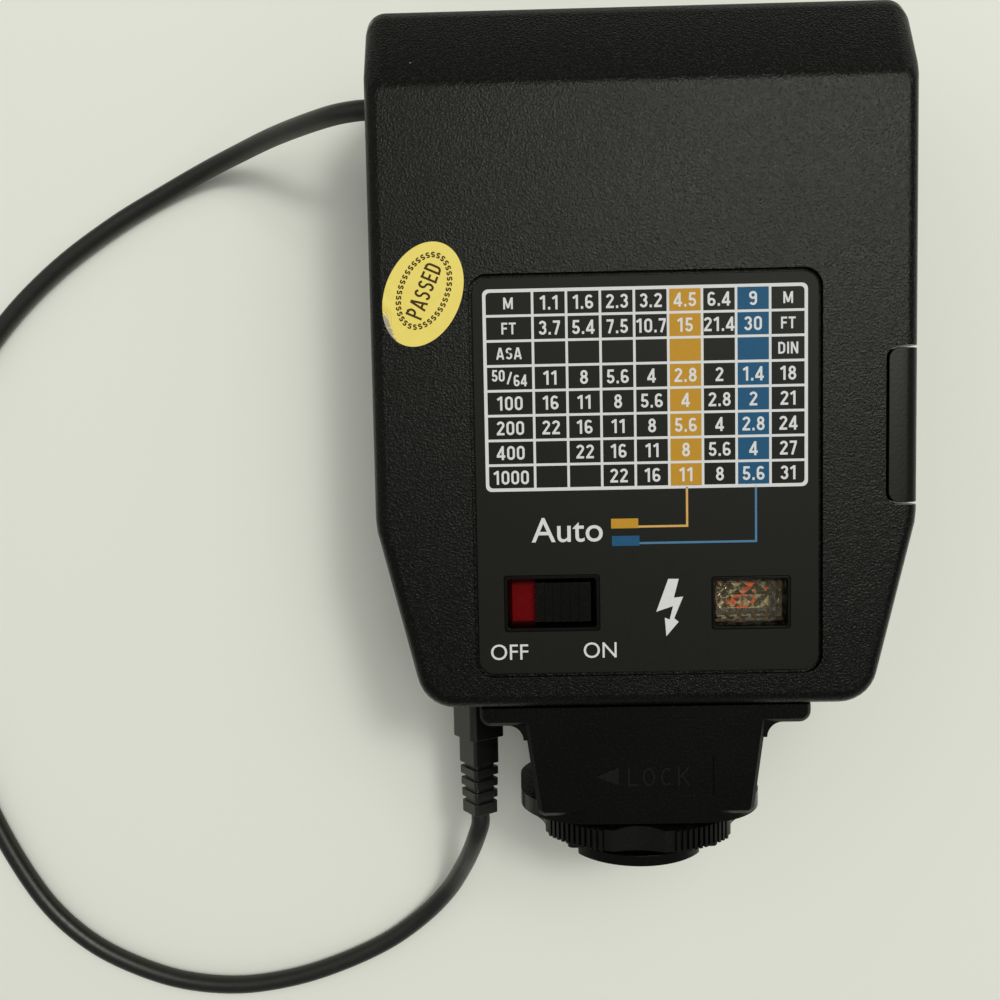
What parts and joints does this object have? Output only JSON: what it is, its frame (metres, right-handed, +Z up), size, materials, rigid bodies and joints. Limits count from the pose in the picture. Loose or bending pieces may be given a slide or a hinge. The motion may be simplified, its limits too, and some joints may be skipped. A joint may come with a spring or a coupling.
{
  "type": "shoe mount flash",
  "caption": "Compact camera flash with a tapered grained body, exposure table label, slide switch, ready lamp, battery door, locking shoe foot and sync lead.",
  "frame": {"origin": "centre of the box around the flash without its lead, on the table under its front face", "axes": "+X across the body to the battery door, +Y from the shoe foot to the flash head, +Z up out of the rear panel; the flash lies on its front face"},
  "size_m": [0.1607, 0.1588, 0.038],
  "materials": {
    "grained_black_plastic": "fine grained moulding",
    "satin_dark_plastic": "satin printed plate",
    "smooth_black_plastic": "smooth semi-gloss moulding",
    "red_plastic": "smooth red",
    "clear_amber_lens": "clear pyramid-cut plastic",
    "clear_window": "ribbed clear plastic",
    "tube_glass": "clear glass",
    "neon_glass": "orange neon",
    "steel": "plain bright",
    "spring_steel": "nickel plated",
    "brass": "turned",
    "mirror_aluminium": "polished",
    "board_laminate": "phenolic board",
    "capacitor_sleeve": "shrink sleeve",
    "ferrite": "sintered ferrite",
    "copper_wire": "enamelled winding",
    "brown_resin": "dipped coil",
    "cream_silicone": "soft",
    "cell_jacket": "printed steel jacket",
    "black_rubber": "soft moulded"
  },
  "bodies": {
    "flash_body": {"rear_shell": "grained_black_plastic", "front_shell": "grained_black_plastic", "label_plate": "satin_dark_plastic", "switch_bezel": "smooth_black_plastic", "switch_flag": "red_plastic", "slide_switch": "steel", "lamp_bezel": "smooth_black_plastic", "neon_lamp": "neon_glass", "circuit_board": "board_laminate", "main_capacitor": "capacitor_sleeve", "transformer_core": "ferrite", "transformer_winding": "copper_wire", "trigger_coil": "brown_resin", "thyristor": "smooth_black_plastic", "reflector": "mirror_aluminium", "flash_tube": "tube_glass", "tube_electrodes": "steel", "tube_boots": "cream_silicone", "front_window": "clear_window", "sensor_window": "clear_window", "photo_sensor": "brass", "sensor_board": "board_laminate", "battery_tray": "smooth_black_plastic", "battery_cells": "cell_jacket", "tray_contacts": "spring_steel", "cell_spring": "spring_steel", "door_hinge_pin": "steel", "foot_bracket": "smooth_black_plastic", "lock_stud": "brass", "foot_plate": "smooth_black_plastic", "pin_insulator": "cream_silicone", "case_screws": "steel", "bracket_screws": "steel", "sync_socket": "smooth_black_plastic", "sync_plug": "black_rubber", "plug_pins": "brass", "sync_cord": "black_rubber", "plug_holder": "smooth_black_plastic", "pc_plug": "black_rubber", "pc_sleeve": "steel"},
    "power_knob": {"power_slider": "smooth_black_plastic"},
    "lens_button": {"test_button": "clear_amber_lens", "test_springs": "brass"},
    "mode_knob": {"mode_slider": "smooth_black_plastic"},
    "battery_lid": {"battery_door": "smooth_black_plastic", "door_contact": "spring_steel"},
    "shoe_clamp": {"clamp_plate": "smooth_black_plastic"},
    "thumb_wheel": {"lock_wheel": "smooth_black_plastic"},
    "hot_pin": {"contact_pin": "brass", "contact_spring": "spring_steel"}
  },
  "joints": [
    {"name": "power_slide", "type": "slide", "parent": "flash_body", "child": "power_knob", "axis": [1, 0, 0], "range_m": [-0.0034, 0]},
    {"name": "test_press", "type": "slide", "parent": "flash_body", "child": "lens_button", "axis": [0, 0, -1], "range_m": [0, 0.0008], "stiffness_N_per_m": 300, "deforming": ["test_springs"]},
    {"name": "mode_slide", "type": "slide", "parent": "flash_body", "child": "mode_knob", "axis": [1, 0, 0], "range_m": [-0.004, 0.004]},
    {"name": "door_swing", "type": "hinge", "parent": "flash_body", "child": "battery_lid", "pos_m": [0.036, 0.00355, 0.006], "axis": [0, 1, 0], "range_deg": [0, 90]},
    {"name": "clamp_slide", "type": "slide", "parent": "flash_body", "child": "shoe_clamp", "axis": [0, -1, 0], "range_m": [0, 0.0009]},
    {"name": "wheel_turn", "type": "hinge", "parent": "shoe_clamp", "child": "thumb_wheel", "pos_m": [0, -0.05515, 0.02], "axis": [0, -1, 0], "range_deg": [0, 270]},
    {"name": "pin_press", "type": "slide", "parent": "flash_body", "child": "hot_pin", "axis": [0, 1, 0], "range_m": [0, 0.001], "stiffness_N_per_m": 500, "deforming": ["contact_spring"]}
  ],
  "couplings": [
    {"joint": "clamp_slide", "follows": "wheel_turn", "m_per_rad": 0.00019099}
  ]
}
